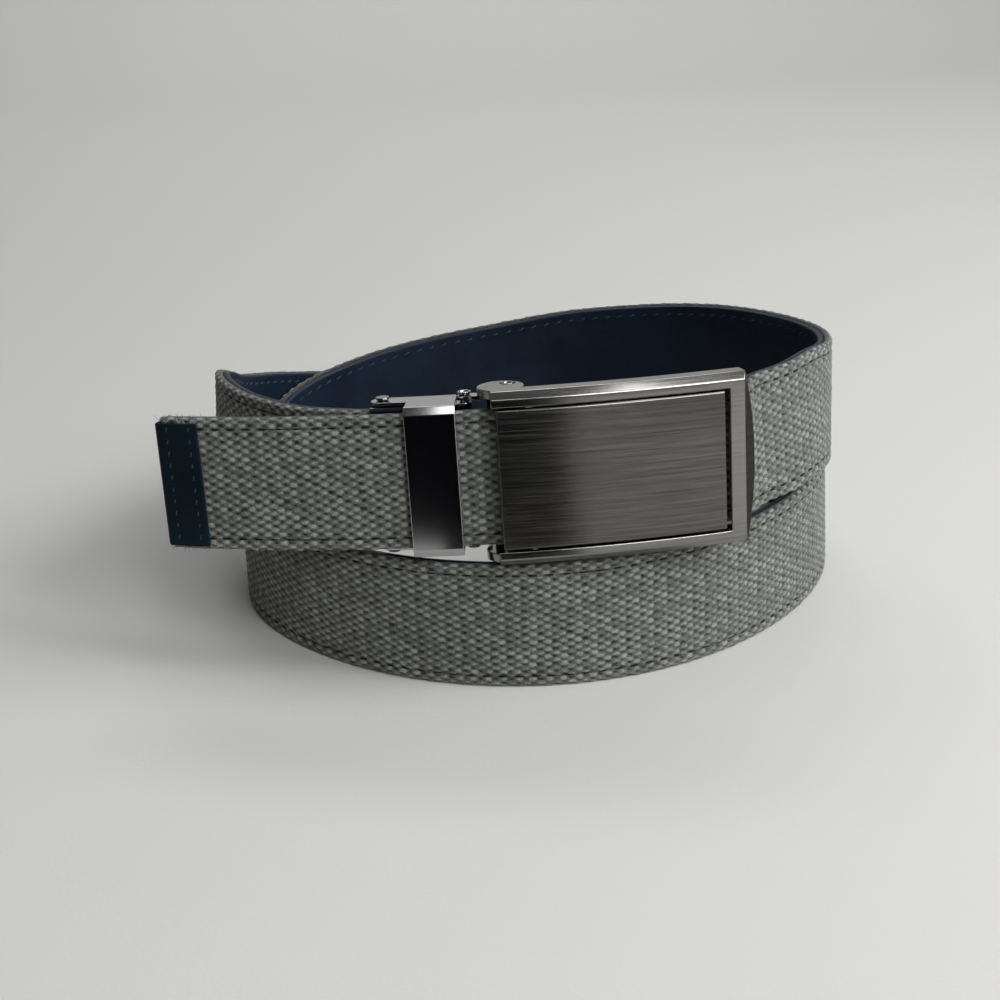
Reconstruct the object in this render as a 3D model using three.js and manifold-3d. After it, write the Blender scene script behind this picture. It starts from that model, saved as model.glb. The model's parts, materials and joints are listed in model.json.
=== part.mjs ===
// Ratchet belt, coiled in two turns on its edge with its buckle fastened in front.
// Millimetres and degrees, +Z up, +X to the right, the buckle towards -Y.
import * as THREE from 'three';
import { mergeVertices } from 'three/addons/utils/BufferGeometryUtils.js';
import Module from 'manifold-3d';

const wasm = await Module();
wasm.setup();

// Strap
const STRAP_WIDTH = 35;
const FACE_THICKNESS = 2.2;
const LINING_THICKNESS = 1.5;
const LINING_INSET = 1.2;
const EDGE_ROUND = 0.8;
const SEAT_GAP = 0.3;
const STRAP_STEP = 8;
const HELD_STEP = 7;
const FASTENED_STEP = 9;
const FASTENED_FROM = 6;
const STRAP_THICKNESS = FACE_THICKNESS + SEAT_GAP + LINING_THICKNESS;

// Coil: the lower turn's outer radius, and how far the buckle stands over and behind its front
const LOOP_RADIUS = 92;
const BUCKLE_ACROSS = -9.9;
const BUCKLE_SET_BACK = 2.3;
const BUCKLE_LIFT = 5.1;
const BUCKLE_LEAN = 7;
const BUCKLE_TILT = 1.4;

// The buckle, the clamp and the tail follow one shallow arc
const FRONT_RADIUS = 260;
const FRONT_YAW = 0.5;

// Tail and its leather cap
const TAIL_LENGTH = 88.5;
const CAP_LENGTH = 12;
const CAP_THICKNESS = 0.9;
const CAP_INSET = 1.2;

// Ratchet track on the back of the tail
const TRACK_WIDTH = 8;
const TRACK_THICKNESS = 0.7;
const TRACK_END_MARGIN = 3;
const TRACK_ENTRY_MARGIN = 9;
const TRACK_STEP = 9;

// Buckle: the frame round the lid, and the lid, which is the release lever
const LID_LENGTH = 56;
const LID_MARGIN = 0.55;
const LID_HEIGHT = STRAP_WIDTH + 2 * LID_MARGIN;
const LID_THICKNESS = 1.6;
const LID_CHAMFER = 0.5;
const BUCKLE_FRONT = 5;
const BUCKLE_RISE = 0.4;
const LID_GAP = 0.35;
const LID_FINGER_GAP = 1.2;
const FRAME_RIM = 2;
const FRAME_CHAMFER = 1.8;
const FRAME_END = 4;
const FRAME_CROWN = 2.3;
const FRAME_DEPTH = 6;
const FRAME_OVERHANG = 1.2;
const LOBE_RADIUS = 6;
const LOBE_ALONG = 1.5;
const LOBE_AHEAD = -4;
const LOBE_THICKNESS = 2.4;
const LID_PIN_ALONG = 3.4;
const LID_PIN_AHEAD = -6.9;
const PIN_RADIUS = 1.3;
const PIN_HEAD = 0.6;
const PIN_HEAD_RADIUS = 1.7;
const PIN_SINK = 0.8;
const EAR_THICKNESS = 1.2;
const EAR_START = 1;
const EAR_LENGTH = 6;
const EAR_RIM = 1.6;
const POCKET_LENGTH = 9;

// Pawl bar behind the strap, hung on the lid's ears
const PAWL_REACH = 5.6;
const PAWL_WIDTH = 2.4;
const PAWL_SHOULDER = 0.6;
const PAWL_DROP = 0.9;

// Clamp on the fixed end, and the keeper loop on it
const KEEPER_START = -10;
const KEEPER_WIDTH = 12.7;
const KEEPER_WALL = 0.9;
const KEEPER_FRONT = 2;
const KEEPER_BEVEL = 2;
const KEEPER_BEVEL_DEPTH = 1.2;
const JAW_WALL = 0.8;
const CLAMP_LENGTH = 22;
const CLAMP_MARGIN = 0.6;
const CLAMP_HEIGHT = STRAP_WIDTH + 2 * CLAMP_MARGIN;
const KEEPER_MARGIN = 0.4;
const KEEPER_HEIGHT = CLAMP_HEIGHT + 2 * (KEEPER_MARGIN + KEEPER_WALL);
const CLAMP_WEB = 1.4;
const HELD_BEYOND = 5;
const ARM_WIDTH = 6.2;
const RIVET_RADIUS = 1.1;
const RIVET_HEAD_RADIUS = 1.8;
const HINGE_PIN_ALONG = -7.9;
const HINGE_PIN_RADIUS = 1.1;
const LINK_RADIUS = 1.8;
const LINK_LENGTH = 4.9;
const LINK_TAPER = 2.5;

// Spacing of sections along the hard pieces, and how far a cutter passes a face
const FACET_STEP = 7;
const CUT_MARGIN = 1;
const SHANK_SIDES = 16;
const LOBE_SIDES = 32;

// Route of the strap's outer face between the clamp and the buckle. Turn runs from the front,
// clockwise from above, in degrees. Reach is a share of the loop radius, lift of the strap width,
// and lean is how far the upper edge leans outwards.
const ROUTE = [
  { turn: 40, reach: 1.04, lift: 1.057, lean: -3 },
  { turn: 56, reach: 1.056, lift: 1.018, lean: -3 },
  { turn: 69, reach: 1.062, lift: 0.995, lean: -4.5 },
  { turn: 76, reach: 1.037, lift: 0.92, lean: -5.5 },
  { turn: 90, reach: 0.982, lift: 0.669, lean: -2 },
  { turn: 104, reach: 0.927, lift: 0.487, lean: 0 },
  { turn: 121, reach: 0.889, lift: 0.28, lean: 0 },
  { turn: 140, reach: 0.873, lift: 0.1, lean: 0 },
  { turn: 160, reach: 0.843, lift: 0.015, lean: 0 },
  { turn: 178, reach: 0.825, lift: 0, lean: 0 },
  { turn: 206, reach: 0.843, lift: 0, lean: 0 },
  { turn: 236, reach: 0.879, lift: 0, lean: -1 },
  { turn: 260, reach: 0.938, lift: 0, lean: -2.5 },
  { turn: 285, reach: 0.983, lift: 0, lean: -3 },
  { turn: 320, reach: 0.986, lift: 0, lean: -2.5 },
  { turn: 360, reach: 1.001, lift: 0, lean: -0.5 },
  { turn: 400, reach: 1.017, lift: 0, lean: 0 },
  { turn: 420, reach: 1.02, lift: 0.006, lean: -1.5 },
  { turn: 432, reach: 0.992, lift: 0.02, lean: -1.5 },
  { turn: 447, reach: 0.926, lift: 0.157, lean: -1 },
  { turn: 466, reach: 0.853, lift: 0.318, lean: 0 },
  { turn: 487, reach: 0.735, lift: 0.434, lean: 0 },
  { turn: 511, reach: 0.61, lift: 0.545, lean: 0 },
  { turn: 531, reach: 0.571, lift: 0.61, lean: 0 },
  { turn: 555, reach: 0.595, lift: 0.694, lean: 0 },
  { turn: 578, reach: 0.64, lift: 0.779, lean: 0 },
  { turn: 605, reach: 0.751, lift: 0.89, lean: 0 },
  { turn: 622, reach: 0.835, lift: 0.957, lean: 0 },
  { turn: 638, reach: 0.932, lift: 1.021, lean: -0.5 },
  { turn: 655, reach: 1.002, lift: 1.114, lean: -3 },
  { turn: 663, reach: 1.021, lift: 1.162, lean: -6 },
  { turn: 671, reach: 1.021, lift: 1.154, lean: -7 },
  { turn: 680, reach: 1.012, lift: 1.149, lean: -7.5 },
];
const ROUTE_STEP = 8;

// Where the strap bends into the buckle: millimetres beyond the lid's right end, and how far
// its face lies behind the tail's arc there, as a share of the strap's thickness
const ENTRY = [
  { beyond: 10.3, behind: 1 },
  { beyond: 6.3, behind: 0.5 },
  { beyond: 1.3, behind: 0.15 },
];

const rad = THREE.MathUtils.degToRad;
const up = new THREE.Vector3(0, 0, 1);

// Heights over the strap's lower edge in the front frame
const STRAP_MIDDLE = STRAP_WIDTH / 2;
const BUCKLE_MIDDLE = STRAP_MIDDLE + BUCKLE_RISE;
const LID_HALF = LID_HEIGHT / 2;
const OPENING_HALF = LID_HALF + LID_GAP;
const FACE_HALF = OPENING_HALF + FRAME_RIM;
const FRAME_HALF = FACE_HALF + FRAME_CHAMFER;
const POCKET_HALF = FRAME_HALF - LOBE_THICKNESS;
const EAR_TOP = POCKET_HALF - SEAT_GAP;
const EAR_BOTTOM = EAR_TOP - EAR_THICKNESS;

// Depths ahead of the tail's face
const TRACK_TOP = -STRAP_THICKNESS - SEAT_GAP;
const TRACK_BOTTOM = TRACK_TOP - TRACK_THICKNESS;
const JAW_FRONT = TRACK_BOTTOM - SEAT_GAP;
const FIXED_END_FACE = JAW_FRONT - JAW_WALL - SEAT_GAP;
const JAW_BACK = FIXED_END_FACE - STRAP_THICKNESS - SEAT_GAP;
const CLAMP_BACK = JAW_BACK - JAW_WALL;
const HINGE_PIN_AHEAD = (JAW_FRONT + CLAMP_BACK) / 2;
const CLAMP_RIGHT = KEEPER_START - SEAT_GAP;
const FIXED_END = CLAMP_RIGHT - CLAMP_WEB - SEAT_GAP;
const CLAMP_LEFT = CLAMP_RIGHT - CLAMP_LENGTH;

function finish(colour, roughness, metalness) {
  return new THREE.MeshStandardMaterial({ color: colour, roughness, metalness });
}

function part(name, geometry, material) {
  geometry.computeVertexNormals();
  const mesh = new THREE.Mesh(geometry, material);
  mesh.name = name;
  return mesh;
}

// Solids for cutting and joining
function solid(geometry) {
  const bare = geometry.clone();
  bare.deleteAttribute('normal');
  bare.deleteAttribute('uv');
  const merged = mergeVertices(bare, 1e-4);
  const vertProperties = Float32Array.from(merged.attributes.position.array);
  const triVerts = Uint32Array.from(merged.index.array);
  return new wasm.Manifold(new wasm.Mesh({ numProp: 3, vertProperties, triVerts }));
}

function shapeOf(manifold) {
  const mesh = manifold.getMesh();
  const geometry = new THREE.BufferGeometry();
  geometry.setAttribute('position', new THREE.BufferAttribute(mesh.vertProperties, 3));
  geometry.setIndex(new THREE.BufferAttribute(mesh.triVerts, 1));
  return geometry;
}

function joined(...geometries) {
  return geometries.map(solid).reduce((whole, piece) => whole.add(piece));
}

function cutBy(whole, ...geometries) {
  return geometries.map(solid).reduce((rest, piece) => rest.subtract(piece), whole);
}

// A closed solid through stations, each a foot with an outward and an upward direction.
// The outline holds [outward, upward] pairs, or is a function of the station's number.
function sweep(stations, outline) {
  const rings = stations.map((station, number) => {
    const section = typeof outline === 'function' ? outline(number) : outline;
    return section.map(([outward, upward]) => station.foot.clone()
      .addScaledVector(station.outward, outward).addScaledVector(station.upward, upward));
  });
  const count = rings[0].length;
  const positions = rings.flat().flatMap((point) => [point.x, point.y, point.z]);
  const first = typeof outline === 'function' ? outline(0) : outline;
  const contour = first.map(([outward, upward]) => new THREE.Vector2(outward, upward));
  const caps = THREE.ShapeUtils.triangulateShape(contour, []);
  const last = (rings.length - 1) * count;
  const index = [];
  for (let ring = 0; ring < rings.length - 1; ring += 1) {
    for (let side = 0; side < count; side += 1) {
      const a = ring * count + side;
      const b = ring * count + ((side + 1) % count);
      index.push(a, b, b + count, a, b + count, a + count);
    }
  }
  const turned = THREE.ShapeUtils.isClockWise(contour);
  for (const [a, b, c] of caps) {
    const [d, e] = turned ? [c, b] : [b, c];
    index.push(a, e, d, last + a, last + d, last + e);
  }
  const geometry = new THREE.BufferGeometry();
  geometry.setAttribute('position', new THREE.Float32BufferAttribute(positions, 3));
  geometry.setIndex(index);
  return facingOut(geometry);
}

// Turns the faces over where the solid's volume comes out negative
function facingOut(geometry) {
  const position = geometry.attributes.position;
  const index = Array.from(geometry.index.array);
  const corner = [0, 1, 2].map(() => new THREE.Vector3());
  let volume = 0;
  for (let face = 0; face < index.length; face += 3) {
    corner.forEach((point, k) => point.fromBufferAttribute(position, index[face + k]));
    volume += corner[0].dot(corner[1].clone().cross(corner[2]));
  }
  if (volume < 0) {
    for (let face = 0; face < index.length; face += 3) {
      [index[face + 1], index[face + 2]] = [index[face + 2], index[face + 1]];
    }
    geometry.setIndex(index);
  }
  return geometry;
}

// Front frame: along runs to the right on the tail's face from the lid's left edge, ahead
// comes out of that face, and height starts at the strap's lower edge
function yawAt(along) {
  return rad(FRONT_YAW) + along / FRONT_RADIUS;
}

function frontPoint(along, ahead, height = 0) {
  const yaw = yawAt(along);
  const start = rad(FRONT_YAW);
  return new THREE.Vector3(
    FRONT_RADIUS * (Math.sin(yaw) - Math.sin(start)) + ahead * Math.sin(yaw),
    FRONT_RADIUS * (Math.cos(start) - Math.cos(yaw)) - ahead * Math.cos(yaw),
    height,
  );
}

function frontStation(along) {
  const yaw = yawAt(along);
  const outward = new THREE.Vector3(Math.sin(yaw), -Math.cos(yaw), 0);
  return { foot: frontPoint(along, 0), outward, upward: up };
}

function steps(from, to, spacing) {
  const count = Math.max(1, Math.ceil(Math.abs(to - from) / spacing));
  return Array.from({ length: count + 1 }, (_, k) => from + ((to - from) * k) / count);
}

function band(fromAlong, toAlong, ahead, otherAhead, spacing = FACET_STEP) {
  const there = steps(fromAlong, toAlong, spacing).map((along) => [along, ahead]);
  const back = steps(toAlong, fromAlong, spacing).map((along) => [along, otherAhead]);
  return [...there, ...back];
}

function disc(along, ahead, radius, sides = 20) {
  return Array.from({ length: sides }, (_, k) => {
    const angle = (2 * Math.PI * k) / sides;
    return [along + radius * Math.cos(angle), ahead + radius * Math.sin(angle)];
  });
}

// An upright prism over an outline of [along, ahead] pairs, between two heights
function prism(outline, low, high) {
  const corners = outline.map(([along, ahead]) => {
    const point = frontPoint(along, ahead);
    return new THREE.Vector2(point.x, point.y);
  });
  const shape = new THREE.Shape(corners);
  const options = { depth: high - low, bevelEnabled: false, steps: 1 };
  return new THREE.ExtrudeGeometry(shape, options).translate(0, 0, low);
}

// The same prism at the top and, mirrored, at the bottom of something with the given middle
function prismPair(outline, middle, inner, outer) {
  return [
    prism(outline, middle + inner, middle + outer),
    prism(outline, middle - outer, middle - inner),
  ];
}

// Strap: smooth values between the route's rows, then even stations along its length
function routeValue(column, turn) {
  const last = ROUTE.length - 1;
  const following = ROUTE.findIndex((row) => row.turn > turn);
  const next = following < 0 ? last : Math.max(following, 1);
  const slope = (k) => {
    const a = ROUTE[Math.max(k - 1, 0)];
    const b = ROUTE[Math.min(k + 1, last)];
    return (b[column] - a[column]) / (b.turn - a.turn);
  };
  const [from, to] = [ROUTE[next - 1], ROUTE[next]];
  const span = to.turn - from.turn;
  const t = (turn - from.turn) / span;
  const ease = t * t * (3 - 2 * t);
  return from[column] + (to[column] - from[column]) * ease
    + slope(next - 1) * span * t * (1 - t) ** 2 - slope(next) * span * t * t * (1 - t);
}

function routeSection(turn) {
  const angle = rad(turn);
  const lean = rad(routeValue('lean', turn));
  const reach = LOOP_RADIUS * routeValue('reach', turn);
  const out = new THREE.Vector3(-Math.sin(angle), -Math.cos(angle), 0);
  const seat = STRAP_THICKNESS * Math.max(-Math.sin(lean), 0);
  const lift = STRAP_WIDTH * Math.max(routeValue('lift', turn), 0) + seat;
  const foot = out.clone().multiplyScalar(reach).setZ(lift);
  const upward = out.clone().multiplyScalar(Math.sin(lean)).setZ(Math.cos(lean));
  return { foot, upward };
}

function frontSection(front, along, ahead) {
  const foot = front.localToWorld(frontPoint(along, ahead));
  const upward = up.clone().applyQuaternion(front.quaternion);
  return { foot, upward };
}

function strapSections(front) {
  const turns = steps(ROUTE[0].turn, ROUTE[ROUTE.length - 1].turn, ROUTE_STEP);
  const held = steps(FIXED_END, CLAMP_LEFT - HELD_BEYOND, HELD_STEP);
  const tailEnd = CAP_THICKNESS + SEAT_GAP - TAIL_LENGTH;
  const fastened = steps(LID_LENGTH - FASTENED_FROM, tailEnd, FASTENED_STEP);
  return [
    ...held.map((along) => frontSection(front, along, FIXED_END_FACE)),
    ...turns.map(routeSection),
    ...ENTRY.map((row) => frontSection(
      front, LID_LENGTH + row.beyond, -STRAP_THICKNESS * row.behind,
    )),
    ...fastened.map((along) => frontSection(front, along, 0)),
  ];
}

function strapStations(front) {
  const sections = strapSections(front);
  const feet = new THREE.CatmullRomCurve3(sections.map((s) => s.foot), false, 'catmullrom');
  const tips = new THREE.CatmullRomCurve3(sections.map((s) => s.upward), false, 'catmullrom');
  feet.arcLengthDivisions = 1600;
  const count = Math.round(feet.getLength() / STRAP_STEP);
  return Array.from({ length: count + 1 }, (_, k) => {
    const t = feet.getUtoTmapping(k / count);
    const foot = feet.getPoint(t);
    const upward = tips.getPoint(t).normalize();
    const tangent = feet.getTangent(t);
    const outward = upward.clone().cross(tangent).normalize();
    return { foot, outward, upward };
  });
}

function strapFace(stations) {
  const back = -STRAP_THICKNESS;
  const round = EDGE_ROUND;
  const top = STRAP_WIDTH;
  const outline = [
    [0, round], [0, top - round], [-round, top], [back + round, top],
    [back, top - round], [back, top - LINING_INSET],
    [-FACE_THICKNESS, top - LINING_INSET], [-FACE_THICKNESS, LINING_INSET],
    [back, LINING_INSET], [back, round], [back + round, 0], [-round, 0],
  ];
  return sweep(stations, outline);
}

function strapLining(stations) {
  const inset = LINING_INSET + SEAT_GAP;
  const face = -FACE_THICKNESS - SEAT_GAP;
  const top = STRAP_WIDTH - inset;
  const back = -STRAP_THICKNESS;
  return sweep(stations, [[face, top], [face, inset], [back, inset], [back, top]]);
}

function tipCap() {
  const front = SEAT_GAP + CAP_THICKNESS;
  const back = -STRAP_THICKNESS - SEAT_GAP - CAP_THICKNESS;
  const inner = CAP_THICKNESS - TAIL_LENGTH;
  const edge = CAP_LENGTH - TAIL_LENGTH;
  const outline = [
    ...band(edge, EDGE_ROUND - TAIL_LENGTH, front, front).slice(0, 3),
    [-TAIL_LENGTH, front - EDGE_ROUND], [-TAIL_LENGTH, back + EDGE_ROUND],
    [EDGE_ROUND - TAIL_LENGTH, back], [edge, back], [edge, -STRAP_THICKNESS - SEAT_GAP],
    [inner, -STRAP_THICKNESS - SEAT_GAP], [inner, SEAT_GAP], [edge, SEAT_GAP],
  ];
  return prism(outline, CAP_INSET, STRAP_WIDTH - CAP_INSET);
}

function ratchetTrack() {
  const left = CAP_LENGTH + TRACK_END_MARGIN - TAIL_LENGTH;
  const right = LID_LENGTH - TRACK_ENTRY_MARGIN;
  const outline = band(left, right, TRACK_TOP, TRACK_BOTTOM, TRACK_STEP);
  const half = TRACK_WIDTH / 2;
  return prism(outline, STRAP_MIDDLE - half, STRAP_MIDDLE + half);
}

// Buckle frame: bevelled bars on three sides, a crowned right end, and a lobe over each pin end
function frameBody() {
  const openingEnd = LID_LENGTH + LID_FINGER_GAP;
  const faceEnd = openingEnd + FRAME_END;
  const crownStart = faceEnd + FRAME_CHAMFER / 2;
  const chamferBack = BUCKLE_FRONT - FRAME_CHAMFER;
  const straight = steps(-FRAME_OVERHANG, faceEnd, FACET_STEP);
  const crowned = [0, 0.45, 0.8, 1];
  const stations = [
    ...straight.map(frontStation),
    ...crowned.map((share) => frontStation(crownStart + FRAME_CROWN * share)),
  ];
  const section = (number) => {
    const share = crowned[number - straight.length];
    const ended = share !== undefined;
    const narrow = ended ? Math.sqrt(1 - share * 0.96) : 1;
    const front = ended ? chamferBack - SEAT_GAP * share : BUCKLE_FRONT;
    const face = ended ? FRAME_HALF * narrow * 0.99 : FACE_HALF;
    const half = FRAME_HALF * narrow;
    const back = BUCKLE_FRONT - FRAME_DEPTH;
    return [
      [front, BUCKLE_MIDDLE - face], [front, BUCKLE_MIDDLE + face],
      [Math.min(front, chamferBack), BUCKLE_MIDDLE + half], [back, BUCKLE_MIDDLE + half],
      [back, BUCKLE_MIDDLE - half], [Math.min(front, chamferBack), BUCKLE_MIDDLE - half],
    ];
  };
  return sweep(stations, section);
}

function buckleFrame() {
  const openingEnd = LID_LENGTH + LID_FINGER_GAP;
  const outside = POCKET_LENGTH;
  const front = BUCKLE_FRONT + outside;
  const back = -STRAP_THICKNESS - outside;
  const pocketFront = BUCKLE_FRONT - SEAT_GAP * 2;
  const opening = prism(
    band(-outside, openingEnd, front, back),
    BUCKLE_MIDDLE - OPENING_HALF, BUCKLE_MIDDLE + OPENING_HALF,
  );
  const strapWay = prism(
    band(openingEnd - CUT_MARGIN, openingEnd + outside, SEAT_GAP * 1.5, back),
    -SEAT_GAP * 3, STRAP_WIDTH + SEAT_GAP * 3,
  );
  const pocket = band(-outside, POCKET_LENGTH, pocketFront, back);
  const hole = disc(LID_PIN_ALONG, LID_PIN_AHEAD, PIN_RADIUS + SEAT_GAP);
  const headRoom = disc(LID_PIN_ALONG, LID_PIN_AHEAD, PIN_HEAD_RADIUS + SEAT_GAP);
  const lobe = disc(LOBE_ALONG, LOBE_AHEAD, LOBE_RADIUS, LOBE_SIDES);
  const body = joined(
    frameBody(),
    ...prismPair(lobe, BUCKLE_MIDDLE, POCKET_HALF, FRAME_HALF),
  );
  const cut = cutBy(
    body, opening, strapWay,
    ...prismPair(pocket, BUCKLE_MIDDLE, OPENING_HALF - CUT_MARGIN, POCKET_HALF),
    ...prismPair(hole, BUCKLE_MIDDLE, OPENING_HALF, FRAME_HALF + CUT_MARGIN),
    ...prismPair(headRoom, BUCKLE_MIDDLE, FRAME_HALF - PIN_SINK, FRAME_HALF + CUT_MARGIN),
  );
  return shapeOf(cut);
}

// Lid: the brushed plate, its two ears on the pin, and the pawl bar behind the strap
function buckleLid() {
  const under = BUCKLE_FRONT - LID_THICKNESS;
  const bevel = BUCKLE_FRONT - LID_CHAMFER;
  const low = BUCKLE_MIDDLE - LID_HALF;
  const high = BUCKLE_MIDDLE + LID_HALF;
  const plate = sweep(steps(0, LID_LENGTH, FACET_STEP).map(frontStation), [
    [under, low], [bevel, low], [BUCKLE_FRONT, low + LID_CHAMFER],
    [BUCKLE_FRONT, high - LID_CHAMFER], [bevel, high], [under, high],
  ]);
  const pinLeft = LID_PIN_ALONG - PIN_RADIUS;
  const pinRight = LID_PIN_ALONG + PIN_RADIUS;
  const tabTop = under + SEAT_GAP / 3;
  const earEnd = EAR_START + EAR_LENGTH;
  const tab = band(EAR_START, earEnd, tabTop, under - CUT_MARGIN);
  const barBack = LID_PIN_AHEAD - PIN_RADIUS - SEAT_GAP;
  const barLeft = LID_PIN_ALONG - PAWL_REACH;
  const barRight = barLeft + PAWL_WIDTH;
  const shoulder = LID_PIN_AHEAD + PAWL_SHOULDER;
  const ear = [
    [EAR_START, tabTop], [earEnd, tabTop], [pinRight + EAR_RIM, LID_PIN_AHEAD],
    [pinRight, barBack - PAWL_DROP], [barLeft, barBack], [barLeft, shoulder],
    [pinLeft - EAR_THICKNESS, -STRAP_THICKNESS],
  ];
  const bar = [
    [barLeft, barBack], [barRight, barBack], [barRight, shoulder],
    [(barLeft + barRight) / 2, TRACK_BOTTOM - SEAT_GAP], [barLeft, shoulder],
  ];
  const hole = disc(LID_PIN_ALONG, LID_PIN_AHEAD, PIN_RADIUS + SEAT_GAP);
  const body = joined(
    plate,
    ...prismPair(tab, BUCKLE_MIDDLE, LID_HALF - 2 * CUT_MARGIN, EAR_TOP),
    ...prismPair(ear, BUCKLE_MIDDLE, EAR_BOTTOM, EAR_TOP),
    prism(bar, BUCKLE_MIDDLE - EAR_TOP, BUCKLE_MIDDLE + EAR_TOP),
  );
  const cut = cutBy(
    body, ...prismPair(hole, BUCKLE_MIDDLE, EAR_BOTTOM - CUT_MARGIN, EAR_TOP + CUT_MARGIN),
  );
  return shapeOf(cut);
}

// A rod across the belt with a flat head beyond each end of what it holds
function rod(along, ahead, middle, half, radius, headRadius) {
  const headStart = half + SEAT_GAP;
  const reach = headStart + PIN_HEAD / 2;
  const body = joined(
    prism(disc(along, ahead, radius, SHANK_SIDES), middle - reach, middle + reach),
    ...prismPair(disc(along, ahead, headRadius), middle, headStart, headStart + PIN_HEAD),
  );
  return shapeOf(body);
}

// Link: two small plates from the frame's lobes to the pin that the clamp hangs on
function hingeLink(middle) {
  const plates = [];
  for (const side of [1, -1]) {
    const inner = side > 0 ? EAR_BOTTOM : -EAR_TOP;
    const outer = side > 0 ? EAR_TOP : -EAR_BOTTOM;
    const reach = HINGE_PIN_ALONG + LINK_LENGTH;
    const arm = [
      [HINGE_PIN_ALONG, HINGE_PIN_AHEAD + LINK_RADIUS],
      [reach - LINK_TAPER / 4, LID_PIN_AHEAD + LINK_TAPER / 2],
      [reach, LID_PIN_AHEAD], [reach, LID_PIN_AHEAD - LINK_TAPER],
      [HINGE_PIN_ALONG, HINGE_PIN_AHEAD - LINK_RADIUS],
    ];
    const eye = disc(HINGE_PIN_ALONG, HINGE_PIN_AHEAD, LINK_RADIUS);
    const holeRadius = HINGE_PIN_RADIUS + SEAT_GAP;
    const hole = disc(HINGE_PIN_ALONG, HINGE_PIN_AHEAD, holeRadius, SHANK_SIDES);
    const cutter = prism(hole, middle + inner - CUT_MARGIN, middle + outer + CUT_MARGIN);
    const body = joined(
      prism(arm, middle + inner, middle + outer),
      prism(eye, middle + inner, middle + outer),
    );
    plates.push(shapeOf(cutBy(body, cutter)));
  }
  return plates;
}

// Clamp: a channel that the strap's fixed end sits in, with an eye for the hinge pin
function clampBody() {
  const half = CLAMP_HEIGHT / 2;
  const low = STRAP_MIDDLE - half;
  const high = STRAP_MIDDLE + half;
  const outer = band(CLAMP_LEFT, CLAMP_RIGHT, JAW_FRONT, CLAMP_BACK);
  const slot = band(
    CLAMP_LEFT - CUT_MARGIN, CLAMP_RIGHT - CLAMP_WEB,
    JAW_FRONT - JAW_WALL, JAW_BACK,
  );
  const neck = band(
    CLAMP_RIGHT - CLAMP_WEB / 2, HINGE_PIN_ALONG,
    HINGE_PIN_AHEAD + LINK_RADIUS, HINGE_PIN_AHEAD - LINK_RADIUS,
  );
  const eye = disc(HINGE_PIN_ALONG, HINGE_PIN_AHEAD, LINK_RADIUS);
  const hole = disc(HINGE_PIN_ALONG, HINGE_PIN_AHEAD, HINGE_PIN_RADIUS + SEAT_GAP, SHANK_SIDES);
  const eyeHalf = EAR_BOTTOM - SEAT_GAP * 2;
  const eyeLow = BUCKLE_MIDDLE - eyeHalf;
  const eyeHigh = BUCKLE_MIDDLE + eyeHalf;
  const body = joined(
    prism(outer, low, high), prism(neck, eyeLow, eyeHigh), prism(eye, eyeLow, eyeHigh),
  );
  const under = low - CUT_MARGIN;
  const over = high + CUT_MARGIN;
  const cut = cutBy(body, prism(slot, under, over), prism(hole, under, over));
  return shapeOf(cut);
}

// Keeper: a bevelled front bar and two side plates, whose arms reach back along the clamp
function keeperLoop() {
  const half = KEEPER_HEIGHT / 2;
  const inner = half - KEEPER_WALL;
  const bevelBack = KEEPER_FRONT - KEEPER_BEVEL_DEPTH;
  const face = half - KEEPER_BEVEL;
  const inside = bevelBack - SEAT_GAP;
  const stations = steps(KEEPER_START, KEEPER_START - KEEPER_WIDTH, FACET_STEP).map(frontStation);
  const middle = STRAP_MIDDLE;
  const section = [
    [CLAMP_BACK, middle - half], [bevelBack, middle - half], [KEEPER_FRONT, middle - face],
    [KEEPER_FRONT, middle + face], [bevelBack, middle + half], [CLAMP_BACK, middle + half],
    [CLAMP_BACK, middle + inner], [inside, middle + inner],
    [inside, middle - inner], [CLAMP_BACK, middle - inner],
  ];
  const armEnd = CLAMP_LEFT + ARM_WIDTH / 2;
  const armAhead = CLAMP_BACK + ARM_WIDTH / 2;
  const arm = band(
    KEEPER_START - KEEPER_WIDTH + CUT_MARGIN, armEnd,
    armAhead + ARM_WIDTH / 2, armAhead - ARM_WIDTH / 2,
  );
  const armTip = disc(armEnd, armAhead, ARM_WIDTH / 2);
  const hole = disc(armEnd, armAhead, RIVET_RADIUS + SEAT_GAP, SHANK_SIDES);
  const body = joined(
    sweep(stations, section),
    ...prismPair(arm, middle, inner, half),
    ...prismPair(armTip, middle, inner, half),
  );
  const cutters = prismPair(hole, middle, inner - CUT_MARGIN, half + CUT_MARGIN);
  return shapeOf(cutBy(body, ...cutters));
}

// Rivets: from just over the clamp body out through the keeper's arms
function clampRivet(side) {
  const along = CLAMP_LEFT + ARM_WIDTH / 2;
  const ahead = CLAMP_BACK + ARM_WIDTH / 2;
  const start = CLAMP_HEIGHT / 2 + SEAT_GAP;
  const headStart = KEEPER_HEIGHT / 2 + SEAT_GAP;
  const reach = headStart + PIN_HEAD / 2;
  const shank = prismPair(disc(along, ahead, RIVET_RADIUS, SHANK_SIDES), STRAP_MIDDLE, start, reach);
  const head = prismPair(
    disc(along, ahead, RIVET_HEAD_RADIUS), STRAP_MIDDLE, headStart, headStart + PIN_HEAD,
  );
  return shapeOf(joined(shank[side], head[side]));
}

const canvas = finish(0x6f7470, 0.95, 0);
const leather = finish(0x1a2230, 0.6, 0);
const trackPlastic = finish(0x1b1c1e, 0.5, 0);
const gunmetal = finish(0x6a6866, 0.35, 1);
const darkMetal = finish(0x1c1c1f, 0.25, 1);

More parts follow.
